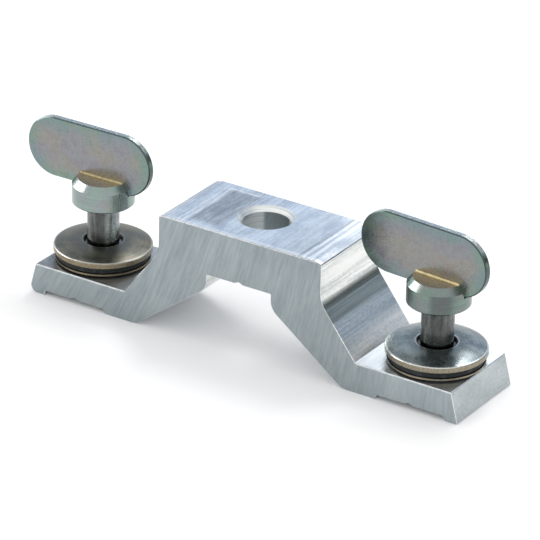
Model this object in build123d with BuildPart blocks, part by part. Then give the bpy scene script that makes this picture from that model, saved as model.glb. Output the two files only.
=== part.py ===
from build123d import *
from math import atan, cos, degrees, radians, sin
import os

# Bridge-shaped clamp bracket with two spring-loaded quarter-turn fasteners.
# Lengths are millimetres and angles are degrees.
# The origin is the centre of the flat seat on top of the bridge.
# X runs along the bracket, Y across it and Z up.

# Levels, from the seat down.
seat = 0.0
arm_top = seat - 25.75
feet = arm_top - 8.75
bridge_ceiling = seat - 13.4

# Bracket: one extruded profile, sawn to width. Half lengths are measured from the middle.
# The two tips differ: the left one is well rounded underneath, and the right one is nearly sharp.
bracket_width = 27.7
bridge_half = 25.5
bridge_corner_run = 2.2
bridge_corner_drop = 0.55
wall_foot = seat - 11.3
leg_foot = 36.6
tip_top = 65.7
tip_bottom = 68.0
channel_half = 10.1
channel_wall_foot = seat - 17.55
channel_mouth_half = 32.8
outer_bend = 7.7
inner_bend = 4.5
foot_corner = 4.5
extrusion_corner = 0.35
tip_corner = {"left": 2.2, "right": extrusion_corner}
saw_break = 0.15

# Underside recess of each arm, between an inner foot and a tip foot.
recess_start = 42.6
recess_start_run = 0.9
recess_end = {"left": 62.9, "right": 64.3}
recess_end_run = {"left": 0.4, "right": 0.9}
recess_depth = 1.35

# Centre marks rolled into the profile.
mark_half_width = 1.3
mark_depth = 0.6

# Bolt hole through the bridge, clearance for M12. It is drilled a little off the middle.
bolt_hole_radius = 6.5
bolt_hole_x = -1.4
bolt_hole_y = 1.3
bolt_hole_mouth = 7.75

# Quarter-turn fasteners: positions and the stack on the arm. Heights are above the arm.
fastener_pitch = 106.0
cup_hole_radius = 7.75
disc_radius = 13.6
lower_washer_radius = 13.1
lower_washer_height = 1.05
lower_washer_lift = 0.55
lower_washer_lift_run = 1.4
rubber_radius = 12.8
rubber_height = 1.95
rubber_bulge = 0.3
flange_thickness = 0.75
sheet = 0.8

# Spring cup: flange, barrel through the arm, and a web that carries the spring.
barrel_radius = 7.65
barrel_bore = 6.85
barrel_foot = feet + 0.2
web_top = arm_top - 4.9
web_thickness = 0.85

# Retaining ring on the barrel, under the arm.
ring_radius = 9.1
ring_thickness = 0.8
ring_groove_depth = 0.35
ring_gap_half_angle = 12.0

# Cover: a crowned disc with a rounded rim and a rolled edge round its hole.
cover_hole_radius = 5.28
cover_hole_height = 5.75
cover_roll = 0.4
cover_rim_round = 0.4
cover_seat_width = 1.0
cover_crown = 0.3

# Stud: wing head, shaft and a slimmer core through the spring.
shaft_radius = 4.42
shaft_foot = arm_top + 4.8
head_radius = 8.6
head_break = 0.3
head_crown_radius = 7.0
head_bottom = arm_top + 17.0
head_shoulder = arm_top + 22.4
head_top = arm_top + 24.2
core_radius = 2.5
core_foot = feet + 0.15
core_point = 0.5

# Spring and its seat.
seat_washer_radius = 6.5
seat_washer_thickness = 0.9
running_gap = 0.05
spring_wire_radius = 0.45
spring_bottom_radius = 6.2
spring_top_radius = 3.6
spring_turns = 4

# Cross pin that hooks into the receptacle.
pin_radius = 1.1
pin_half_length = 6.2
pin_break = 0.25
pin_height = feet + 1.45

# Wing: a flat obround plate in a slot in the head, a little off centre and turned as assembled.
wing_length = 39.7
wing_height = 17.35
wing_thickness = 2.1
wing_centre = arm_top + 29.5
wing_edge_break = 0.3
slot_gap = 0.02
slot_floor_gap = 0.05
wing_offset = {"left": -4.3, "right": -4.9}
wing_turn = {"left": 0.8, "right": -4.2}

side_x = {"left": -fastener_pitch / 2, "right": fastener_pitch / 2}

flange_bottom = arm_top + lower_washer_height + rubber_height
flange_top = flange_bottom + flange_thickness
recess_ceiling = feet + recess_depth


def axial_plane(x):
    """The XZ plane through a fastener's axis: local x is the radius and local y the height."""
    return Plane(origin=(x, 0, 0), x_dir=(1, 0, 0), z_dir=(0, -1, 0))


def turned(x, corners):
    """A ring or shaft about a fastener's axis, from the (radius, height) corners of its half section."""
    with BuildPart() as piece:
        with BuildSketch(axial_plane(x)):
            with BuildLine():
                Polyline(*corners, close=True)
            make_face()
        revolve(axis=Axis((x, 0, 0), (0, 0, 1)))
    return piece


def save(piece, name):
    """Label a finished piece and write it as its own STEP file."""
    piece.part.label = name
    export_step(piece.part, f"parts/{name}.step")


def half_profile(side):
    """The bracket's outline on one side of the middle, as (x, height, corner radius), from the top down."""
    pitch_line = fastener_pitch / 2
    return [
        (bridge_half - bridge_corner_run, seat, extrusion_corner),
        (bridge_half, seat - bridge_corner_drop, extrusion_corner),
        (bridge_half, wall_foot, outer_bend),
        (leg_foot, arm_top, extrusion_corner),
        (tip_top, arm_top, extrusion_corner),
        (tip_bottom, feet, tip_corner[side]),
        (recess_end[side], feet, extrusion_corner),
        (recess_end[side] - recess_end_run[side], recess_ceiling, extrusion_corner),
        (pitch_line + mark_half_width, recess_ceiling, extrusion_corner),
        (pitch_line, recess_ceiling + mark_depth, extrusion_corner),
        (pitch_line - mark_half_width, recess_ceiling, extrusion_corner),
        (recess_start + recess_start_run, recess_ceiling, extrusion_corner),
        (recess_start, feet, extrusion_corner),
        (channel_mouth_half, feet, foot_corner),
        (channel_half, channel_wall_foot, inner_bend),
        (channel_half, bridge_ceiling, extrusion_corner),
        (mark_half_width, bridge_ceiling, extrusion_corner),
    ]


def bracket():
    """The extruded profile with its bolt hole and the two holes for the spring cups."""
    with BuildPart() as body:
        with BuildSketch(Plane.XZ):
            with BuildLine():
                for side, outward in (("left", -1), ("right", 1)):
                    corners = half_profile(side)
                    points = [(outward * x, height) for x, height, _ in corners]
                    radii = [radius for _, _, radius in corners]
                    FilletPolyline((0, seat), *points, (0, bridge_ceiling + mark_depth), radius=radii)
            make_face()
        extrude(amount=bracket_width / 2, both=True)
        sawn_faces = body.faces().filter_by(Axis.Y)
        chamfer(sawn_faces.edges(), saw_break)
        with Locations((bolt_hole_x, bolt_hole_y, seat)):
            CounterSinkHole(bolt_hole_radius, bolt_hole_mouth)
        with Locations(*[(x, 0, arm_top) for x in side_x.values()]):
            Hole(cup_hole_radius)
    return body


def lower_washer(x):
    """Steel washer on the arm, with its rim lifted clear."""
    rim = arm_top + lower_washer_lift
    top = arm_top + lower_washer_height
    piece = turned(x, [
        (cup_hole_radius, arm_top),
        (lower_washer_radius - lower_washer_lift_run, arm_top),
        (lower_washer_radius, rim),
        (lower_washer_radius, top),
        (cup_hole_radius, top),
    ])
    return piece


def rubber_ring(x):
    """Rubber ring between the lower washer and the cup's flange."""
    bottom = arm_top + lower_washer_height
    top = flange_bottom
    piece = turned(x, [
        (cup_hole_radius, bottom),
        (rubber_radius - rubber_bulge, bottom),
        (rubber_radius, bottom + rubber_bulge),
        (rubber_radius, top - rubber_bulge),
        (rubber_radius - rubber_bulge, top),
        (cup_hole_radius, top),
    ])
    return piece


def spring_cup(x):
    """Flanged sleeve through the arm, with a web that carries the spring and a skirt round the cross pin."""
    web_bottom = web_top - web_thickness
    groove_top = recess_ceiling
    groove_bottom = recess_ceiling - ring_thickness
    core_hole = core_radius + running_gap
    groove_radius = barrel_radius - ring_groove_depth
    piece = turned(x, [
        (core_hole, web_bottom),
        (barrel_bore, web_bottom),
        (barrel_bore, barrel_foot),
        (barrel_radius, barrel_foot),
        (barrel_radius, groove_bottom),
        (groove_radius, groove_bottom),
        (groove_radius, groove_top),
        (barrel_radius, groove_top),
        (barrel_radius, flange_bottom),
        (disc_radius, flange_bottom),
        (disc_radius, flange_top),
        (barrel_bore, flange_top),
        (barrel_bore, web_top),
        (core_hole, web_top),
    ])
    return piece


def cover_washer(x):
    """Crowned disc that rests on the flange by its rim and is domed up to a rolled edge round the stud."""
    rim_top = flange_top + sheet
    hole_top = arm_top + cover_hole_height
    seat_inside = disc_radius - cover_seat_width
    dome_foot = disc_radius - cover_rim_round
    dome_top = cover_hole_radius + cover_roll
    middle = (dome_foot + dome_top) / 2
    crown_top = (hole_top + rim_top) / 2 + cover_crown
    inset = 1 - cos(radians(45))
    with BuildPart() as piece:
        with BuildSketch(axial_plane(x)):
            with BuildLine():
                hole = Line((cover_hole_radius, hole_top - sheet), (cover_hole_radius, hole_top - cover_roll))
                roll_middle = (cover_hole_radius + cover_roll * inset, hole_top - cover_roll * inset)
                roll = ThreePointArc(hole @ 1, roll_middle, (dome_top, hole_top))
                dome = ThreePointArc(roll @ 1, (middle, crown_top), (dome_foot, rim_top))
                rim_middle = (disc_radius - cover_rim_round * inset, rim_top - cover_rim_round * inset)
                rim = ThreePointArc(dome @ 1, rim_middle, (disc_radius, rim_top - cover_rim_round))
                Polyline(rim @ 1, (disc_radius, flange_top), (seat_inside, flange_top))
                inside_top = (dome_top, hole_top - sheet)
                inside_middle = ((seat_inside + dome_top) / 2, crown_top - sheet)
                ThreePointArc((seat_inside, flange_top), inside_middle, inside_top)
                Line(inside_top, hole @ 0)
            make_face()
        revolve(axis=Axis((x, 0, 0), (0, 0, 1)))
    return piece


def retaining_ring(x):
    """Open ring in the barrel's groove that keeps the cup in the arm."""
    gap = 2 * ring_radius * sin(radians(ring_gap_half_angle))
    with BuildPart() as piece:
        with BuildSketch(Plane.XY.offset(recess_ceiling - ring_thickness)):
            with Locations((x, 0)):
                Circle(ring_radius)
                Circle(barrel_radius - ring_groove_depth, mode=Mode.SUBTRACT)
            with Locations((x + ring_radius, 0)):
                Rectangle(ring_radius, gap, mode=Mode.SUBTRACT)
        extrude(amount=ring_thickness)
    return piece


def spring_seat(x):
    """Washer under the stud's shoulder, pushed up against the cover by the spring."""
    top = shaft_foot - running_gap
    bottom = top - seat_washer_thickness
    piece = turned(x, [
        (core_radius + running_gap, bottom),
        (seat_washer_radius, bottom),
        (seat_washer_radius, top),
        (core_radius + running_gap, top),
    ])
    return piece


def spring(x):
    """Conical spring between the web and the spring seat, so that its turns nest when it is pressed flat."""
    bottom = web_top + spring_wire_radius + running_gap
    top = shaft_foot - seat_washer_thickness - spring_wire_radius - 2 * running_gap
    height = top - bottom
    taper = degrees(atan((spring_bottom_radius - spring_top_radius) / height))
    with BuildPart() as piece:
        with BuildLine():
            pitch = height / spring_turns
            path = Helix(pitch, height, spring_bottom_radius, (x, 0, bottom), cone_angle=-taper)
        with BuildSketch(Plane(origin=path @ 0, z_dir=path % 0)):
            Circle(spring_wire_radius)
        sweep(path=path, is_frenet=True)
    return piece


def wing_plane(side):
    """The middle plane of a wing, as it is turned on its stud's axis."""
    turn = radians(wing_turn[side])
    return Plane(
        origin=(side_x[side], 0, wing_centre),
        x_dir=(cos(turn), sin(turn), 0),
        z_dir=(sin(turn), -cos(turn), 0),
    )


def cross_plane(side):
    """The plane through a stud's axis that its cross pin runs square to, in line with the wing."""
    turn = radians(wing_turn[side])
    return Plane(
        origin=(side_x[side], 0, pin_height),
        x_dir=(-sin(turn), cos(turn), 0),
        z_dir=(cos(turn), sin(turn), 0),
    )


def stud(side):
    """Turned stud: slotted head, shaft, and a core through the spring with a cross hole near its end."""
    x = side_x[side]
    slot_depth = wing_height / 2 + slot_floor_gap
    with BuildPart() as piece:
        with BuildSketch(axial_plane(x)):
            with BuildLine():
                Polyline(
                    (0, core_foot),
                    (core_radius - core_point, core_foot),
                    (core_radius, core_foot + core_point),
                    (core_radius, shaft_foot),
                    (shaft_radius, shaft_foot),
                    (shaft_radius, head_bottom),
                    (head_radius - head_break, head_bottom),
                    (head_radius, head_bottom + head_break),
                    (head_radius, head_shoulder),
                    (head_crown_radius, head_top),
                    (0, head_top),
                    close=True,
                )
            make_face()
        revolve(axis=Axis((x, 0, 0), (0, 0, 1)))
        with BuildSketch(wing_plane(side)):
            Rectangle(4 * head_radius, 2 * slot_depth)
        extrude(amount=wing_thickness / 2 + slot_gap, both=True, mode=Mode.SUBTRACT)
        with BuildSketch(cross_plane(side)):
            Circle(pin_radius + slot_gap)
        extrude(amount=2 * core_radius, both=True, mode=Mode.SUBTRACT)
    return piece


def wing(side):
    """Flat obround plate that the fingers turn."""
    with BuildPart() as piece:
        with BuildSketch(wing_plane(side)):
            with Locations((wing_offset[side], 0)):
                SlotOverall(wing_length, wing_height)
        extrude(amount=wing_thickness / 2, both=True)
        flat_faces = piece.faces().sort_by(SortBy.AREA)[-2:]
        chamfer(flat_faces.edges(), wing_edge_break)
    return piece


def cross_pin(side):
    """Straight pin through the stud's core, inside the skirt of the cup."""
    with BuildPart() as piece:
        with BuildSketch(cross_plane(side)):
            Circle(pin_radius)
        extrude(amount=pin_half_length, both=True)
        ends = piece.edges().filter_by(GeomType.CIRCLE)
        chamfer(ends, pin_break)
    return piece


def main():
    """Build every piece and write the STEP files."""
    os.makedirs("parts", exist_ok=True)
    save(bracket(), "bracket")
    for side, x in side_x.items():
        save(lower_washer(x), f"{side}_lower_washer")
        save(rubber_ring(x), f"{side}_rubber_ring")
        save(spring_cup(x), f"{side}_spring_cup")
        save(cover_washer(x), f"{side}_cover_washer")
        save(retaining_ring(x), f"{side}_retaining_ring")
        save(spring(x), f"{side}_spring")
        save(spring_seat(x), f"{side}_spring_seat")
        save(stud(side), f"{side}_stud")
        save(wing(side), f"{side}_wing")
        save(cross_pin(side), f"{side}_cross_pin")


main()
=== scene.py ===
from math import cos, hypot, pi, radians, sin
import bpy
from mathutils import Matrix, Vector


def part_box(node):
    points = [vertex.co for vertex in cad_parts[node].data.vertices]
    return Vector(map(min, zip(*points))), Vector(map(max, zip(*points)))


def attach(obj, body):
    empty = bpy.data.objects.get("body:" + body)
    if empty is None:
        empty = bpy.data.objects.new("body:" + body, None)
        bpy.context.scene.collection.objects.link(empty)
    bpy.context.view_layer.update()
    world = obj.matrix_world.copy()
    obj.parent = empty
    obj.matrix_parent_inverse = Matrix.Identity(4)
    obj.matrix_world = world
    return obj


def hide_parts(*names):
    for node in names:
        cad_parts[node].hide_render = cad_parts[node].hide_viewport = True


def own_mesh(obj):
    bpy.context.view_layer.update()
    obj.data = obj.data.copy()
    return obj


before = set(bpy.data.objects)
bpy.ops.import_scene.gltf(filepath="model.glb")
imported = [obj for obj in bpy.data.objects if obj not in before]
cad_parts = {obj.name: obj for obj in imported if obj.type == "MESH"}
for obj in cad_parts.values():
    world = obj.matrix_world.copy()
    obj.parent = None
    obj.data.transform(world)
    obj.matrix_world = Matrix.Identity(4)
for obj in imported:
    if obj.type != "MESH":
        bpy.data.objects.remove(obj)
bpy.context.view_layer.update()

from types import SimpleNamespace

import bmesh
import bpy
from mathutils import Matrix, Vector

# Lengths in the tables and materials below are millimetres unless a name says otherwise.
MM = 0.001
SIDES = ("left", "right")
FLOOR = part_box("bracket")[0].z
ARM_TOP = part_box("left_lower_washer")[0].z
AXIS_X = {side: (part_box(f"{side}_stud")[0].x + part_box(f"{side}_stud")[1].x) / 2 for side in SIDES}

# Distances from the middle over which the marks of the bridge's walls end and of the end faces begin.
WALL_REACH = (31.0, 29.0)
END_REACH = (60.0, 62.0)
# The bolt hole, which is drilled off the centre of the bridge.
HOLE_X = -1.4
HOLE_Y = 1.3
COUNTERSINK_RADIUS = 8.0

# Radii of the painted highlights on the cover washer: bright rings at its outer rim and at the lip of its hole.
COVER_RIM = (13.2, 13.5)
COVER_LIP = (5.5, 5.85)
# The stud's head: flat out to the crown's radius, then a chamfer that drops to the full radius.
HEAD_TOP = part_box("left_stud")[1].z / MM
HEAD_HEIGHT = 7.6
HEAD_CROWN = 7.0
HEAD_RADIUS = 8.6
HEAD_DROP = 1.8


def linear(red, green, blue):
    """A display colour, each channel 0 to 255, as the linear colour that shaders take."""
    def channel(value):
        value /= 255
        return value / 12.92 if value <= 0.04045 else ((value + 0.055) / 1.055) ** 2.4
    return (channel(red), channel(green), channel(blue), 1.0)


# ------------------------------------------------------------------ shader building
class Nodes:
    """Short calls that add nodes to one node tree."""

    def __init__(self, tree):
        self.tree = tree

    def add(self, kind, settings=None, links=None):
        node = self.tree.nodes.new(kind)
        for name, value in (settings or {}).items():
            setattr(node, name, value)
        for name, value in (links or {}).items():
            self.feed(node.inputs[name], value)
        return node

    def feed(self, socket, value):
        if isinstance(value, bpy.types.NodeSocket):
            self.tree.links.new(value, socket)
        else:
            socket.default_value = value

    def vector(self, operation, first, second):
        node = self.add("ShaderNodeVectorMath", {"operation": operation}, {0: first})
        self.feed(node.inputs["Scale" if operation == "SCALE" else 1], second)
        return node.outputs["Vector"]

    def split(self, vector):
        return self.add("ShaderNodeSeparateXYZ", None, {0: vector}).outputs[:]

    def join(self, x, y, z):
        return self.add("ShaderNodeCombineXYZ", None, {0: x, 1: y, 2: z}).outputs[0]

    def math(self, operation, first, second=0.0, third=0.0):
        node = self.add("ShaderNodeMath", {"operation": operation}, {0: first, 1: second, 2: third})
        return node.outputs[0]

    def product(self, first, *others):
        for other in others:
            first = self.math("MULTIPLY", first, other)
        return first

    def mixture(self, *parts):
        """The sum of values, each given with its share."""
        total = 0.0
        for value, share in parts:
            total = self.math("MULTIPLY_ADD", value, share, total)
        return total

    def invert(self, value):
        return self.math("SUBTRACT", 1.0, value)

    def size(self, value):
        return self.math("ABSOLUTE", value)

    def distance(self, first, second):
        squares = self.mixture((self.product(first, first), 1.0), (self.product(second, second), 1.0))
        return self.math("SQRT", squares)

    def span(self, value, low, high, to_low=0.0, to_high=1.0):
        """Map value from low..high to to_low..to_high with soft ends, and hold it outside."""
        node = self.add("ShaderNodeMapRange", {"interpolation_type": "SMOOTHSTEP"}, {
            "Value": value, "From Min": low, "From Max": high, "To Min": to_low, "To Max": to_high})
        return node.outputs["Result"]

    def band(self, value, low, high, soft):
        """1 between low and high, falling to 0 over the soft distance outside."""
        return self.product(self.span(value, low - soft, low), self.span(value, high + soft, high))

    def blend(self, factor, first, second):
        node = self.add("ShaderNodeMix", {"data_type": "RGBA"}, {0: factor, 6: first, 7: second})
        return node.outputs[2]

    def shade(self, colour, factor):
        """Colour multiplied by a number."""
        return self.vector("SCALE", colour, factor)

    def darken(self, colour, mark, share=1.0):
        """Colour made darker by a share of itself where the mark is 1."""
        return self.shade(colour, self.math("MULTIPLY_ADD", mark, -share, 1.0))


class Shader(Nodes):
    """A Principled material whose texture is placed in millimetres of the CAD frame."""

    def __init__(self, name, metallic=1.0):
        self.material = bpy.data.materials.new(name)
        self.material.use_nodes = True
        super().__init__(self.material.node_tree)
        self.surface = self.tree.nodes["Principled BSDF"]
        self.surface.inputs["Metallic"].default_value = metallic
        coordinates = self.add("ShaderNodeTexCoord")
        self.place = self.vector("SCALE", coordinates.outputs["Object"], 1 / MM)
        self.x, self.y, self.z = self.split(self.place)
        self.nx, self.ny, self.nz = self.split(coordinates.outputs["Normal"])

    def noise(self, place, stretch, detail=3.0, roughness=0.55, offset=0.0):
        """Noise with its own frequency per millimetre along each axis, spread to about 0..1."""
        scaled = self.vector("MULTIPLY", place, stretch)
        moved = self.vector("ADD", scaled, (offset, offset, offset))
        node = self.add("ShaderNodeTexNoise", None, {
            "Vector": moved, "Scale": 1.0, "Detail": detail, "Roughness": roughness})
        return self.span(node.outputs["Fac"], 0.28, 0.72)

    def around_axis(self):
        """Distance outward past the nearer fastener's axis, and distance from that axis."""
        reach = self.math("SUBTRACT", self.size(self.x), AXIS_X["right"] / MM)
        return reach, self.distance(reach, self.y)

    def right_half(self):
        """A 0..1 mark of the right-hand side."""
        return self.span(self.x, -5.0, 5.0)

    def finish(self, colour, roughness, height, depth):
        """Join the texture to the surface. Height is 0..1 and depth is its full size in millimetres."""
        bump = self.add("ShaderNodeBump", None, {"Height": height, "Strength": 1.0, "Distance": depth * MM})
        self.feed(self.surface.inputs["Base Color"], colour)
        self.feed(self.surface.inputs["Roughness"], roughness)
        self.feed(self.surface.inputs["Normal"], bump.outputs[0])
        return self.material


# ------------------------------------------------------------------ the bracket's material
def alloy_faces(s, right):
    """0..1 marks of the bracket's faces, told apart by where they are and which way they look.

    The bend is the stretch where a wall turns into its slope, and the corner is the round at the top's right;
    both get painted shade.
    """
    upward = s.span(s.nz, 0.85, 0.95)
    sideways = s.span(s.size(s.nx), 0.85, 0.95)
    by_bridge = s.span(s.size(s.x), *WALL_REACH)
    sawn = s.span(s.size(s.ny), 0.74, 0.84)
    drawn = s.invert(sawn)
    tilted = s.band(s.size(s.nx), 0.5, 0.85, 0.08)
    rounded = s.product(s.span(s.nz, 0.2, 0.3), s.span(s.nz, 0.998, 0.97))
    from_hole = s.distance(s.math("SUBTRACT", s.x, HOLE_X), s.math("SUBTRACT", s.y, HOLE_Y))
    right_slope = s.band(s.x, 30.0, 45.0, 1.0)
    in_hole = s.span(from_hole, COUNTERSINK_RADIUS, COUNTERSINK_RADIUS - 0.15)
    return SimpleNamespace(
        sawn=sawn,
        drawn=drawn,
        block_top=s.product(upward, s.span(s.z, -3.0, -1.5)),
        arm_top=s.product(upward, s.band(s.z, -27.0, -24.0, 1.0)),
        wall=s.product(sideways, by_bridge),
        end=s.product(sideways, s.span(s.size(s.x), *END_REACH)),
        bend=s.product(s.band(s.z, -15.8, -12.8, 2.2), by_bridge, s.span(s.nz, -0.05, 0.1), drawn),
        corner=s.product(rounded, s.span(s.z, -2.5, -1.5), right, drawn),
        slope=s.product(tilted, s.span(s.nz, 0.3, 0.5), s.span(s.z, -5.0, -7.0)),
        low_slope=s.product(right_slope, s.span(s.z, -19.5, -23.0), s.span(s.nz, 0.95, 0.85)),
        drilled=s.product(in_hole, s.span(s.nz, 0.98, 0.9)),
    )


def die_grain(s):
    """Noises of the extruded faces: lines along Y, slow patches of oxide, grit, and breaks in the marks."""
    return SimpleNamespace(
        fine=s.noise(s.place, (4.0, 0.05, 4.0), 4.0, 0.65, offset=2.0),
        broad=s.noise(s.place, (0.8, 0.02, 0.8), offset=5.0),
        patch=s.noise(s.place, (0.18, 0.09, 0.18), 4.0, 0.6, offset=7.0),
        grit=s.noise(s.place, (1.8, 0.9, 1.8), 4.0, 0.7, offset=13.0),
        broken=s.noise(s.place, (0.9, 0.14, 0.9), 4.0, 0.65, offset=41.0),
    )


def saw_marks(s):
    """Saw marks, which lean over on the left and stand nearly upright on the right."""
    lean = s.math("MULTIPLY_ADD", s.x, -0.0042, 0.30)
    across = s.math("SUBTRACT", s.x, s.product(lean, s.math("ADD", s.z, 17.0)))
    marks = s.join(across, s.y, s.z)
    broad = s.noise(marks, (0.22, 0.2, 0.04))
    medium = s.noise(marks, (1.1, 0.2, 0.09), offset=4.0)
    fine = s.noise(marks, (3.6, 0.2, 0.25), 4.0, 0.65, offset=9.0)
    cloud = s.noise(s.place, (0.10, 0.1, 0.10), offset=21.0)
    return s.mixture((broad, 0.22), (medium, 0.30), (fine, 0.30), (cloud, 0.18))


def sawn_colour(s, saw, broken):
    """The cut faces, with painted light making them lighter at the right, and a burr along their upper edges
    painted bright as a highlight.
    """
    colour = s.blend(saw, linear(138, 148, 152), linear(173, 182, 185))
    # Painted light: the cut faces lighter towards the right.
    colour = s.shade(colour, s.span(s.x, 30.0, 50.0, 1.0, 1.14))
    # A burr along the upper edges, painted white as a highlight.
    arm_burr_highlight = s.product(s.span(s.z, -26.3, -25.85), s.span(s.size(s.x), 36.0, 37.5))
    burr_highlight = s.mixture((s.span(s.z, -0.5, -0.1), 1.0), (arm_burr_highlight, 1.0))
    burr_highlight = s.product(burr_highlight, s.span(broken, 0.2, 0.6, 0.3, 0.9))
    return s.blend(burr_highlight, colour, linear(250, 252, 252))


def drawn_colour(s, faces, grain, tone):
    """The extruded faces, each kind with its own tones and mix of grain; the bend and the round at the top's
    right get painted shade, and the top is painted darker towards its right.
    """
    top_tone = s.mixture((grain.fine, 0.34), (grain.broad, 0.14), (grain.patch, 0.32), (grain.grit, 0.20))
    wall_tone = s.mixture((grain.fine, 0.35), (grain.broad, 0.40), (grain.grit, 0.25))
    slope_tone = s.mixture((grain.fine, 0.40), (grain.broad, 0.25), (grain.grit, 0.35))
    end_tone = s.mixture((grain.grit, 0.5), (grain.patch, 0.5))
    # Painted shade: darker tones on the bend stand in for a dark reflection.
    bend = s.product(faces.bend, s.span(grain.broad, 0.0, 1.0, 1.0, 0.8))
    colour = s.blend(tone, linear(184, 193, 200), linear(240, 243, 244))
    for face, factor, dark, light in (
        (faces.block_top, s.span(top_tone, 0.22, 0.78), linear(178, 190, 204), linear(238, 244, 251)),
        (faces.wall, s.span(wall_tone, 0.2, 0.65), linear(184, 190, 190), linear(232, 234, 231)),
        (faces.slope, s.span(slope_tone, 0.2, 0.8), linear(214, 221, 226), linear(255, 255, 255)),
        (faces.end, end_tone, linear(158, 166, 169), linear(190, 197, 199)),
        (bend, grain.fine, linear(152, 158, 154), linear(196, 200, 194)),
    ):
        colour = s.blend(face, colour, s.blend(factor, dark, light))
    # Painted shade on the round at the top's right.
    colour = s.darken(colour, faces.corner, 0.30)
    # Painted shade: the bridge's top darker towards its right.
    top_right_shade = s.product(faces.block_top, s.span(s.x, 3.0, 17.0))
    return s.shade(colour, s.span(top_right_shade, 0.0, 1.0, 1.0, 0.86))


def top_reflection_marks(s, block_top, broken):
    """Painted reflections on the bridge's top: bright lines, and dark lines with a darker patch."""
    wobble = s.noise(s.place, (0.3, 0.12, 0.3), offset=31.0)
    across = s.math("MULTIPLY_ADD", wobble, 0.5, s.x)
    along = s.math("MULTIPLY_ADD", wobble, 0.6, s.y)
    # Painted reflection: bright lines on the bridge's top.
    bright_reflection_lines = s.mixture(
        (s.product(s.band(across, -18.5, -17.9, 0.25), s.band(s.y, -12.5, 11.0, 1.0)), 1.0),
        (s.product(s.band(across, -19.9, -19.6, 0.20), s.band(s.y, -12.5, 12.0, 1.0)), 0.7),
        (s.product(s.band(along, 11.0, 11.6, 0.25), s.band(s.x, -19.0, -9.5, 1.0)), 0.9),
        (s.band(across, 19.5, 20.0, 0.25), 0.8),
        (s.band(across, 21.4, 22.3, 0.35), 0.7),
        (s.band(s.y, -13.7, -12.6, 0.6), 0.5),
    )
    # Painted reflection: a darker patch and dark lines on the bridge's top.
    dark_reflection_marks = s.mixture(
        (s.product(s.band(s.x, -16.0, -10.5, 3.6), s.band(s.y, -9.0, 9.2, 3.0)), 1.0),
        (s.band(across, 18.5, 18.9, 0.25), 0.75),
        (s.band(across, 20.6, 20.9, 0.2), 0.5),
        (s.product(s.band(across, -16.9, -16.6, 0.3), s.band(s.y, -12.0, 9.0, 1.0)), 0.4),
    )
    bright_reflection_lines = s.product(bright_reflection_lines, block_top, s.span(broken, 0.1, 0.5, 0.35, 1.0))
    dark_reflection_marks = s.product(dark_reflection_marks, block_top, s.span(broken, 1.0, 0.2, 0.6, 1.0))
    return bright_reflection_lines, dark_reflection_marks


def arm_painted_shade(s, faces, grain, right):
    """Painted shade on the arm tops round the washers, much heavier on the left arm."""
    radius = s.around_axis()[1]
    near_disc = s.span(s.math("MULTIPLY_ADD", grain.patch, 2.0, radius), 19.0, 13.5)
    uneven = s.product(s.invert(right), s.span(grain.grit, 0.0, 1.0, 0.7, 1.1))
    on_left = s.product(uneven, s.span(s.x, -46.0, -62.0, 0.34, 0.60))
    arm_shade = s.mixture((on_left, 1.0), (near_disc, 0.06), (s.product(near_disc, right), 0.10))
    return s.product(arm_shade, faces.arm_top)


def alloy_material():
    """Mill-finish aluminium: die lines along Y on the extruded faces, saw marks on the two cut faces."""
    s = Shader("bracket_alloy")
    right = s.right_half()
    faces = alloy_faces(s, right)
    grain = die_grain(s)
    tone = s.mixture((grain.fine, 0.30), (grain.broad, 0.30), (grain.patch, 0.22), (grain.grit, 0.18))
    saw = saw_marks(s)
    bright_reflection_lines, dark_reflection_marks = top_reflection_marks(s, faces.block_top, grain.broken)

    drawn = drawn_colour(s, faces, grain, tone)
    # Painted reflections on the bridge's top: white lines and a darker patch.
    drawn = s.blend(s.math("MINIMUM", bright_reflection_lines, 1.0), drawn, linear(255, 255, 255))
    drawn = s.darken(drawn, dark_reflection_marks, 0.42)
    # Painted shade on the arm tops.
    drawn = s.darken(drawn, arm_painted_shade(s, faces, grain, right))
    tool_ring = s.noise(s.place, (0.05, 0.05, 2.2), 3.0, 0.6, offset=17.0)
    drawn = s.blend(faces.drilled, drawn, s.blend(tool_ring, linear(206, 212, 214), linear(244, 246, 246)))
    colour = s.blend(faces.sawn, drawn, sawn_colour(s, saw, grain.broken))

    bore = s.product(faces.drilled, s.span(s.z, -1.5, -3.0))
    drawn_rough = s.mixture(
        (tone, -0.10), (faces.block_top, 0.06), (faces.arm_top, 0.15), (faces.slope, -0.04),
        (faces.low_slope, 0.30), (faces.drilled, 0.12), (bore, 0.20), (1.0, 0.30))
    saw_rough = s.mixture((saw, -0.10), (1.0, 0.52))
    roughness = s.mixture((s.product(drawn_rough, faces.drawn), 1.0), (s.product(saw_rough, faces.sawn), 1.0))
    saw_height = s.product(saw, faces.sawn)
    line_height = s.product(grain.fine, faces.drawn)
    height = s.mixture((saw_height, 1.0), (line_height, 0.3), (bright_reflection_lines, 0.3), (dark_reflection_marks, -0.3))
    return s.finish(colour, roughness, height, 0.010)


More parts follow.
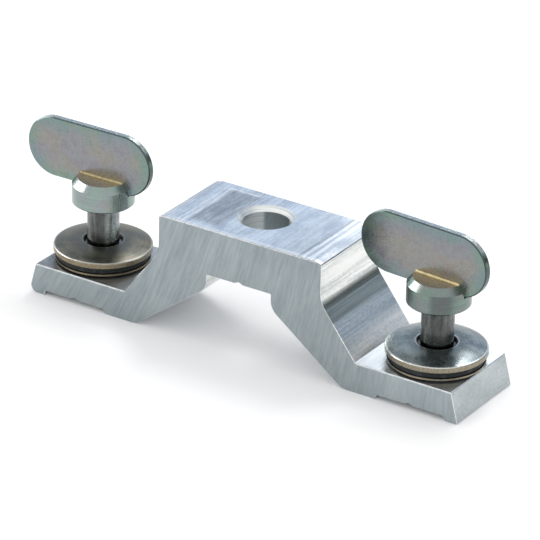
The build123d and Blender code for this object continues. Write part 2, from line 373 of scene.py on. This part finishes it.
# ------------------------------------------------------------------ the fasteners' materials
def disc_material():
    """Bronzed zinc plate on the washers, dull tan round the side; painted highlights make the rim and the
    hole's lip bright, painted shade darkens round the hole, in it and underneath, and the left washers are
    painted darker than the right.
    """
    s = Shader("plated_disc")
    reach, radius = s.around_axis()
    right = s.right_half()
    rings = s.noise(s.join(radius, s.product(reach, 0.02), s.z), (3.0, 1.0, 1.0), 4.0, 0.6)
    cloud = s.noise(s.place, (0.30, 0.30, 0.30), 4.0, 0.65, offset=3.0)
    speck = s.noise(s.place, (2.2, 2.2, 2.2), 4.0, 0.7, offset=8.0)
    # Painted shade: the left washers get darker tones than the right ones.
    shaded_left_colour = s.blend(cloud, linear(98, 100, 96), linear(126, 121, 108))
    lit_right_colour = s.blend(cloud, linear(128, 138, 142), linear(160, 168, 168))
    colour = s.blend(right, shaded_left_colour, lit_right_colour)
    # Painted shade: darker towards the hole.
    colour = s.blend(s.product(s.span(radius, 10.0, 6.4), 0.5), colour, linear(84, 90, 90))
    # Painted highlight: a bright ring at the lip of the hole, stronger on the right.
    lip = s.product(s.band(radius, *COVER_LIP, 0.12), s.span(s.nz, 0.3, 0.7))
    colour = s.blend(s.product(lip, s.span(right, 0.0, 1.0, 0.15, 0.5)), colour, linear(205, 209, 208))
    side = s.span(s.size(s.nz), 0.75, 0.35)
    tan = s.blend(speck, linear(118, 106, 86), linear(156, 145, 122))
    colour = s.blend(s.product(side, 0.85), colour, tan)
    # Painted highlight: a bright ring at the outer rim, stronger on the right.
    rim = s.product(s.band(radius, *COVER_RIM, 0.10), s.span(s.nz, 0.2, 0.5))
    colour = s.blend(s.product(rim, s.span(right, 0.0, 1.0, 0.45, 0.85)), colour, linear(222, 224, 220))
    # Painted shade in the hole and on the undersides.
    dark = s.mixture((s.span(radius, 5.7, 5.35), 0.8), (s.span(s.nz, -0.4, -0.8), 0.5))
    light = s.mixture((rings, 0.20), (speck, 0.12), (1.0, 0.84))
    colour = s.shade(colour, s.product(light, s.invert(s.math("MINIMUM", dark, 1.0))))
    roughness = s.mixture((cloud, 0.10), (speck, 0.05), (right, -0.10), (1.0, 0.30))
    height = s.mixture((rings, 0.6), (speck, 0.4))
    return s.finish(colour, roughness, height, 0.008)


def shaft_colour(s, cloud, reach, right):
    """Streaky dark zinc; painted shade darkens the right shaft and the shafts' middles, and a painted highlight
    lightens the right side of the left one.
    """
    streak = s.noise(s.place, (1.1, 1.1, 0.12), 3.0, 0.6, offset=19.0)
    colour = s.blend(s.mixture((cloud, 0.5), (streak, 0.5)), linear(80, 85, 84), linear(140, 144, 142))
    # Painted highlight down the right side of the left shaft.
    from_left_axis = s.math("ADD", s.x, AXIS_X["right"] / MM)
    colour = s.shade(colour, s.span(from_left_axis, 2.4, 3.6, 0.70, 1.6))
    # Painted shade on the right shaft.
    colour = s.shade(colour, s.span(right, 0.0, 1.0, 1.0, 0.444))
    # Painted shade down the middles of the shafts.
    right_middle_shade = s.product(right, s.band(reach, 0.8, 3.0, 1.0))
    left_middle_shade = s.product(s.invert(right), s.band(reach, -2.6, -0.8, 0.8))
    return s.darken(colour, s.mixture((right_middle_shade, 0.36), (left_middle_shade, 0.30)))


def head_colour(s, cloud, reach, right):
    """Greenish passivated zinc with rose clouds; painted shade darkens the right head and the middle of its
    side.
    """
    tint = s.noise(s.place, (0.22, 0.22, 0.15), 2.0, offset=12.0)
    colour = s.blend(tint, linear(144, 152, 153), linear(140, 162, 152))
    colour = s.blend(s.span(cloud, 0.55, 0.9, 0.0, 0.5), colour, linear(158, 146, 146))
    # Painted shade: the right head darker.
    colour = s.shade(colour, s.span(right, 0.0, 1.0, 0.98, 0.72))
    # Painted shade down the middle of the right head's side.
    right_middle_shade = s.product(right, s.band(reach, 3.2, 6.2, 2.0), s.span(s.nz, 0.3, 0.1))
    return s.darken(colour, right_middle_shade, 0.38)


def stud_material():
    """Passivated zinc on turned steel: tool lines round the axis, greenish head, tan by the wing."""
    s = Shader("plated_stud")
    reach, radius = s.around_axis()
    right = s.right_half()
    turned = s.join(s.product(reach, 0.05), s.product(s.y, 0.05), s.math("ADD", s.z, radius))
    tool = s.noise(turned, (1.0, 1.0, 3.5), 4.0, 0.6)
    cloud = s.noise(s.place, (0.45, 0.45, 0.30), 4.0, 0.65, offset=3.0)
    speck = s.noise(s.place, (3.0, 3.0, 2.4), 4.0, 0.7, offset=8.0)
    head_foot = HEAD_TOP - HEAD_HEIGHT
    on_head = s.span(s.z, head_foot, head_foot + 0.5)
    colour = s.blend(on_head, shaft_colour(s, cloud, reach, right), head_colour(s, cloud, reach, right))
    tan = s.blend(speck, linear(200, 186, 156), linear(230, 216, 186))
    by_wing = s.span(s.size(s.y), 7.0, 2.0, 0.55, 1.0)
    colour = s.blend(s.product(s.span(s.nz, 0.9, 0.97), on_head, by_wing), colour, tan)
    colour = s.shade(colour, s.mixture((tool, 0.20), (speck, 0.18), (1.0, 0.80)))
    roughness = s.mixture((cloud, 0.10), (speck, 0.08), (1.0, 0.15))
    height = s.mixture((tool, 0.75), (speck, 0.25))
    return s.finish(colour, roughness, height, 0.008)


def wing_material(side):
    """Iridescent passivation: green towards the edge, rose and tan in the middle, over a fine mottle; painted
    highlights and shade on the edges, and a painted dark reflection on the right wing's inner end.
    """
    s = Shader(f"plated_wing_{side}")
    low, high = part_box(f"{side}_wing")
    centre = (low + high) / 2 / MM
    cap = (high.z - low.z) / 2 / MM
    straight = (high.x - low.x) / 2 / MM - cap
    u = s.math("SUBTRACT", s.x, centre.x)
    w = s.math("SUBTRACT", s.z, centre.z)
    past = s.math("MAXIMUM", s.math("SUBTRACT", s.size(u), straight), 0.0)
    out = s.distance(past, w)
    cloud = s.noise(s.place, (0.16, 0.2, 0.2), 4.0, 0.6, offset=1.0)
    drift = s.noise(s.place, (0.10, 0.2, 0.14), 3.0, 0.5, offset=6.0)
    blotch = s.noise(s.place, (0.5, 0.5, 0.5), 4.0, 0.65, offset=23.0)
    speck = s.noise(s.place, (1.6, 1.6, 1.6), 4.0, 0.7, offset=9.0)
    edge = s.span(s.mixture((out, 1.0), (cloud, 2.6), (blotch, 1.2)), cap * 0.66, cap * 1.24)
    rose = s.blend(s.span(drift, 0.25, 0.8), linear(141, 140, 146), linear(147, 144, 139))
    rose = s.blend(s.span(blotch, 0.3, 0.8, 0.0, 0.6), rose, linear(146, 150, 148))
    green = s.blend(drift, linear(126, 144, 147), linear(124, 150, 136))
    colour = s.blend(edge, rose, green)
    by_head = s.size(s.math("SUBTRACT", s.x, AXIS_X[side] / MM))
    root = s.product(s.span(w, -3.2, -6.5), s.span(by_head, 9.5, 5.0))
    colour = s.blend(s.product(root, 0.8), colour, linear(150, 138, 112))
    colour = s.blend(s.product(s.span(blotch, 0.62, 0.95), 0.4), colour, linear(112, 118, 114))
    if side == "right":
        # Painted reflection: dark shade over the inner end of the right wing.
        inner_end_reflection = s.mixture((u, 1.0), (cloud, 3.0))
        colour = s.shade(colour, s.span(inner_end_reflection, -8.0, -17.0, 1.0, 0.45))
    # Thickness faces: painted highlight on the upper ones, painted shade on the lower ones, and a painted dark
    # line on the chamfers.
    narrow = s.span(s.size(s.ny), 0.45, 0.35)
    chamfer_shade = s.band(s.size(s.ny), 0.50, 0.85, 0.08)
    edge_highlight = s.blend(speck, linear(150, 160, 158), linear(226, 232, 230))
    colour = s.blend(s.product(narrow, s.span(s.nz, 0.35, 0.85)), colour, edge_highlight)
    colour = s.shade(colour, s.span(s.product(narrow, s.span(s.nz, 0.6, 0.0)), 0.0, 1.0, 1.0, 0.45))
    colour = s.darken(colour, chamfer_shade, 0.62)
    colour = s.shade(colour, s.mixture((speck, 0.10), (blotch, 0.12), (1.0, 0.83)))
    roughness = s.mixture((speck, 0.10), (cloud, 0.08), (1.0, 0.16))
    height = s.mixture((speck, 0.6), (blotch, 0.4))
    return s.finish(colour, roughness, height, 0.012)


def braze_material():
    """Brass braze, melted smooth, with a little flux left on it, and painted shade that is heavier on the left.
    """
    s = Shader("braze")
    flow = s.noise(s.place, (0.7, 0.7, 0.7), 4.0, 0.6)
    speck = s.noise(s.place, (4.0, 4.0, 4.0), 3.0, 0.6, offset=6.0)
    colour = s.blend(flow, linear(206, 188, 138), linear(240, 228, 184))
    # Painted shade, heavier on the left bead.
    colour = s.shade(colour, s.mixture((speck, 0.2), (s.span(s.x, -5.0, 5.0, 0.55, 0.8), 1.0)))
    return s.finish(colour, s.mixture((speck, 0.15), (1.0, 0.38)), flow, 0.02)


def steel_material(name, dark, light, rough):
    """Plain steel with a fine drawn grain."""
    s = Shader(name)
    cloud = s.noise(s.place, (0.6, 0.6, 0.6), 4.0, 0.6)
    grain = s.noise(s.place, (5.0, 5.0, 5.0), 3.0, 0.6, offset=6.0)
    colour = s.blend(cloud, dark, light)
    colour = s.shade(colour, s.mixture((grain, 0.2), (1.0, 0.8)))
    return s.finish(colour, s.mixture((grain, 0.12), (1.0, rough)), grain, 0.006)


def rubber_material():
    """Matt black rubber with a moulded grain and a little dust."""
    s = Shader("rubber", metallic=0.0)
    s.surface.inputs["Specular IOR Level"].default_value = 0.35
    grain = s.noise(s.place, (3.0, 3.0, 3.0), 4.0, 0.65)
    dust = s.noise(s.place, (0.4, 0.4, 0.4), 4.0, 0.6, offset=5.0)
    colour = s.blend(s.span(dust, 0.45, 0.95), linear(26, 30, 31), linear(48, 52, 53))
    return s.finish(colour, s.mixture((grain, 0.15), (1.0, 0.62)), grain, 0.03)


MATERIALS = {
    "bracket": alloy_material(),
    "disc": disc_material(),
    "stud": stud_material(),
    "left_wing": wing_material("left"),
    "right_wing": wing_material("right"),
    "braze": braze_material(),
    "spring": steel_material("spring_steel", linear(96, 98, 102), linear(124, 126, 128), 0.30),
    "pin": steel_material("hard_steel", linear(140, 141, 144), linear(172, 173, 175), 0.24),
    "rubber": rubber_material(),
}
FINISH = {
    "lower_washer": "disc", "spring_cup": "disc", "cover_washer": "disc", "rubber_ring": "rubber",
    "retaining_ring": "spring", "spring_seat": "stud", "stud": "stud", "cross_pin": "pin",
}


def dress(piece, finish):
    piece.data.materials.clear()
    piece.data.materials.append(MATERIALS[finish])


dress(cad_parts["bracket"], "bracket")
for side in SIDES:
    dress(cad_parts[f"{side}_wing"], f"{side}_wing")
    for part, finish in FINISH.items():
        dress(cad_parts[f"{side}_{part}"], finish)


# ------------------------------------------------------------------ springs and braze beads
def add_piece(name, points, faces, finish, body, slot):
    """A smooth-shaded mesh piece from points in millimetres of the CAD frame."""
    data = bpy.data.meshes.new(name)
    data.from_pydata([Vector(point) * MM for point in points], [], faces)
    mesh = bmesh.new()
    mesh.from_mesh(data)
    bmesh.ops.recalc_face_normals(mesh, faces=mesh.faces)
    mesh.to_mesh(data)
    mesh.free()
    data.shade_smooth()
    piece = bpy.data.objects.new(name, data)
    bpy.context.scene.collection.objects.link(piece)
    dress(piece, finish)
    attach(piece, body)
    return piece


def tube(rings):
    """Points and faces that join equal rings of points into a tube with closed ends."""
    count, sides = len(rings), len(rings[0])
    faces = [tuple(range(sides))[::-1], tuple(range((count - 1) * sides, count * sides))]
    for ring in range(count - 1):
        for corner in range(sides):
            beside = (corner + 1) % sides
            low, high = ring * sides, (ring + 1) * sides
            faces.append((low + corner, low + beside, high + beside, high + corner))
    return [point for ring in rings for point in ring], faces


WIRE = 0.45
WIRE_SIDES = 12
SPRING_BOTTOM_RADIUS = 6.2
SPRING_TOP_RADIUS = 3.6
SPRING_TURNS = 4
SPRING_STEPS = 160
# Share of the rise that is even from turn to turn; the rest is eased, which closes the end turns.
SPRING_EVEN_RISE = 0.55


def add_spring(side):
    """A conical spring with closed ends."""
    low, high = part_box(f"{side}_spring")
    bottom, top = low.z / MM + WIRE, high.z / MM - WIRE
    rings = []
    for step in range(SPRING_STEPS + 1):
        share = step / SPRING_STEPS
        angle = 2 * pi * SPRING_TURNS * share
        radius = SPRING_BOTTOM_RADIUS + (SPRING_TOP_RADIUS - SPRING_BOTTOM_RADIUS) * share
        eased = share * share * (3 - 2 * share)
        rise = bottom + (top - bottom) * (SPRING_EVEN_RISE * share + (1 - SPRING_EVEN_RISE) * eased)
        outward = Vector((cos(angle), sin(angle), 0))
        middle = Vector((AXIS_X[side] / MM, 0, rise)) + outward * radius
        rings.append([
            middle + outward * (WIRE * cos(turn)) + Vector((0, 0, WIRE * sin(turn)))
            for turn in (2 * pi * corner / WIRE_SIDES for corner in range(WIRE_SIDES))
        ])
    spring = add_piece(f"{side}_coil", *tube(rings), "spring", "base", "spring_steel")
    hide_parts(f"{side}_spring")
    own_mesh(spring)


WING_HALF_THICKNESS = 1.05
WING_TURN = {"left": radians(0.8), "right": radians(-4.2)}
BEAD = 0.5
BEAD_SUNK = 0.04
BEAD_STEPS = 64
BEAD_REACH = HEAD_CROWN - 0.1
# The hollow outer face of the bead, as shares of its leg away from the wing and above the head.
BEAD_CURVE = ((0.62, 0.22), (0.42, 0.42), (0.22, 0.62))
# The bead thins towards a point just past each end, over this share of the way, to this share of its leg.
BEAD_OVERRUN = 0.3
BEAD_TAPER = 0.08
BEAD_END = 0.25


def head_surface(reach):
    """Height of the head's surface at a distance from its axis."""
    past = max(reach - HEAD_CROWN, 0)
    return HEAD_TOP - HEAD_DROP * past / (HEAD_RADIUS - HEAD_CROWN)


def bead_leg(side, along):
    """Size of the bead at a distance along the wing: a slow ripple, thinner at the ends."""
    ripple = 1 + 0.12 * sin(0.9 * along + AXIS_X[side] * 400) + 0.05 * sin(2.3 * along + 1.0)
    taper = min(1, (1 - abs(along) / (BEAD_REACH + BEAD_OVERRUN)) / BEAD_TAPER)
    return BEAD * ripple * max(taper, BEAD_END)


def add_braze(side, face):
    """The fillet of braze between one face of the wing and the head, from rim to rim."""
    along = Vector((cos(WING_TURN[side]), sin(WING_TURN[side]), 0))
    outward = Vector((-along.y, along.x, 0)) * (1 if face == "back" else -1)
    axis = Vector((AXIS_X[side] / MM, 0, 0))
    rings = []
    for step in range(BEAD_STEPS + 1):
        u = BEAD_REACH * (2 * step / BEAD_STEPS - 1)
        leg = bead_leg(side, u)
        section = [(-BEAD_SUNK, -BEAD_SUNK), (leg, -BEAD_SUNK)]
        section += [(away * leg, above * leg) for away, above in BEAD_CURVE]
        section.append((-BEAD_SUNK, leg))
        ring = []
        for away, above in section:
            v = WING_HALF_THICKNESS + away
            ring.append(axis + along * u + outward * v + Vector((0, 0, head_surface(hypot(u, v)) + above)))
        rings.append(ring)
    add_piece(f"{side}_braze_{face}", *tube(rings), "braze", f"{side}_fastener", "plated_stud")


for side in SIDES:
    add_spring(side)
    for face in ("front", "back"):
        add_braze(side, face)


# ------------------------------------------------------------------ camera
CAMERA_AZIMUTH = radians(32.35)
CAMERA_ELEVATION = radians(25.97)
CAMERA_ROLL = radians(1.34)
CAMERA_DISTANCE = 1134.9 * MM
CAMERA_ASIDE = 1.065 * MM
CAMERA_RAISED = 9.982 * MM
SENSOR = 36.0
FOCAL = 283.3


def add_camera():
    """A long lens at the photograph's angle, aimed a little above the level of the arms."""
    view = Vector((
        sin(CAMERA_AZIMUTH) * cos(CAMERA_ELEVATION),
        -cos(CAMERA_AZIMUTH) * cos(CAMERA_ELEVATION),
        sin(CAMERA_ELEVATION),
    ))
    right = Vector((cos(CAMERA_AZIMUTH), sin(CAMERA_AZIMUTH), 0))
    up = view.cross(right)
    roll_right = right * cos(CAMERA_ROLL) + up * sin(CAMERA_ROLL)
    roll_up = up * cos(CAMERA_ROLL) - right * sin(CAMERA_ROLL)
    target = Vector((0, 0, ARM_TOP))
    place = target + view * CAMERA_DISTANCE + roll_right * CAMERA_ASIDE + roll_up * CAMERA_RAISED
    data = bpy.data.cameras.new("camera")
    data.sensor_width = SENSOR
    data.lens = FOCAL
    data.clip_start = 0.01
    data.clip_end = 20
    camera = bpy.data.objects.new("camera", data)
    matrix = Matrix((roll_right, roll_up, view)).transposed().to_4x4()
    matrix.translation = place
    camera.matrix_world = matrix
    bpy.context.scene.collection.objects.link(camera)
    bpy.context.scene.camera = camera


# ------------------------------------------------------------------ floor, sky and lights
# create_grid takes half the width.
FLOOR_HALF_WIDTH = 4000 * MM
FLOOR_GREY = (0.92, 0.92, 0.92, 1)


def floor_material():
    """Matt white paper."""
    material = bpy.data.materials.new("floor_paper")
    material.use_nodes = True
    surface = material.node_tree.nodes["Principled BSDF"]
    surface.inputs["Base Color"].default_value = FLOOR_GREY
    surface.inputs["Roughness"].default_value = 0.9
    surface.inputs["Specular IOR Level"].default_value = 0.0
    return material


def add_floor():
    mesh = bmesh.new()
    bmesh.ops.create_grid(mesh, x_segments=8, y_segments=8, size=FLOOR_HALF_WIDTH)
    data = bpy.data.meshes.new("floor")
    mesh.to_mesh(data)
    mesh.free()
    floor = bpy.data.objects.new("floor", data)
    floor.location.z = FLOOR
    bpy.context.scene.collection.objects.link(floor)
    floor.data.materials.append(floor_material())


# Height of the sky direction as a share of its length, and the colour there, as reflections see it.
SKY_LEFT = (
    (-1.0, (0.80, 0.80, 0.80)),
    (0.0, (0.85, 0.86, 0.87)),
    (0.22, (0.90, 0.92, 0.94)),
    (0.33, (0.39, 0.50, 0.66)),
    (0.48, (0.39, 0.50, 0.66)),
    (0.62, (1.0, 1.04, 1.08)),
    (0.90, (1.0, 1.0, 1.0)),
    (1.0, (0.76, 0.77, 0.78)),
)
SKY_RIGHT = (
    (-1.0, (0.80, 0.80, 0.80)),
    (-0.02, (0.30, 0.31, 0.32)),
    (0.03, (0.10, 0.11, 0.11)),
    (0.24, (0.12, 0.14, 0.15)),
    (0.33, (0.33, 0.40, 0.48)),
    (0.42, (0.46, 0.55, 0.66)),
    (0.50, (1.00, 1.02, 1.05)),
    (0.60, (0.34, 0.36, 0.38)),
    (0.80, (0.90, 0.92, 0.94)),
    (0.90, (0.92, 0.94, 0.96)),
    (1.0, (0.76, 0.77, 0.78)),
)
SKY_FRONT = (
    (-1.0, (0.80, 0.80, 0.80)),
    (0.0, (0.70, 0.70, 0.70)),
    (0.20, (1.10, 1.08, 1.04)),
    (0.55, (1.15, 1.12, 1.06)),
    (0.66, (0.95, 0.95, 0.95)),
    (0.86, (1.15, 1.15, 1.15)),
    (0.94, (0.82, 0.82, 0.82)),
    (1.0, (0.76, 0.77, 0.78)),
)
BACKDROP = (0.93, 0.935, 0.94, 1)
FLOOR_LIGHT = (1.10, 1.10, 1.11, 1)


def sky_ramp(sky, share, levels):
    """Colours that change with the height of the sky direction."""
    ramp = sky.add("ShaderNodeValToRGB", None, {0: share})
    stops = ramp.color_ramp.elements
    while len(stops) < len(levels):
        stops.new(0.5)
    for stop, (level, colour) in zip(stops, levels):
        stop.position = (level + 1) / 2
        stop.color = (*colour, 1)
    return ramp.outputs[0]


def add_sky():
    """A pale room. Reflections see a banded sky, as in a studio tent; the eye and matt surfaces an even one."""
    world = bpy.data.worlds.new("studio")
    bpy.context.scene.world = world
    world.use_nodes = True
    sky = Nodes(world.node_tree)
    x, y, z = sky.split(sky.add("ShaderNodeTexCoord").outputs["Generated"])
    share = sky.math("MULTIPLY_ADD", z, 0.5, 0.5)
    left, right, front = (sky_ramp(sky, share, levels) for levels in (SKY_LEFT, SKY_RIGHT, SKY_FRONT))
    banded = sky.blend(sky.span(x, -0.05, 0.5), left, right)
    banded = sky.blend(sky.span(y, 0.2, -0.2), banded, front)
    path = sky.add("ShaderNodeLightPath")
    for_floor = sky.blend(path.outputs["Is Diffuse Ray"], banded, FLOOR_LIGHT)
    for_eye = sky.blend(path.outputs["Is Camera Ray"], for_floor, BACKDROP)
    sky.feed(sky.tree.nodes["Background"].inputs["Color"], for_eye)


FASTENERS = sorted(set(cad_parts) - {"bracket"})
ARM_LEVEL = (0, 0, -26)
# Soft boxes: name, centre, aim and size in millimetres, radiance, and the nodes they light, if not all.
SOFT_BOXES = (
    ("soft_box_left", (-580, -110, 240), ARM_LEVEL, (380, 380), 6.0, FASTENERS),
    ("soft_box_over", (-60, 300, 480), ARM_LEVEL, (190, 230), 6.5, None),
    ("soft_box_near", (-14, 120, 40), (60, 0, -26), (56, 40), 1.9, ["bracket"]),
)


def add_soft_box(name, place, aim, size, radiance, lit_nodes):
    light = bpy.data.lights.new(name, "AREA")
    light.shape = "RECTANGLE"
    light.size, light.size_y = size[0] * MM, size[1] * MM
    light.energy = radiance * pi * light.size * light.size_y
    box = bpy.data.objects.new(name, light)
    box.location = Vector(place) * MM
    box.rotation_euler = (Vector(aim) * MM - box.location).to_track_quat("-Z", "Y").to_euler()
    box.visible_camera = False
    bpy.context.scene.collection.objects.link(box)
    if lit_nodes:
        lit = bpy.data.collections.new(f"{name}_lights")
        for node in lit_nodes:
            lit.objects.link(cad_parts[node])
        box.light_linking.receiver_collection = lit


add_camera()
add_floor()
add_sky()
for soft_box in SOFT_BOXES:
    add_soft_box(*soft_box)
bpy.context.scene.view_settings.view_transform = "Standard"
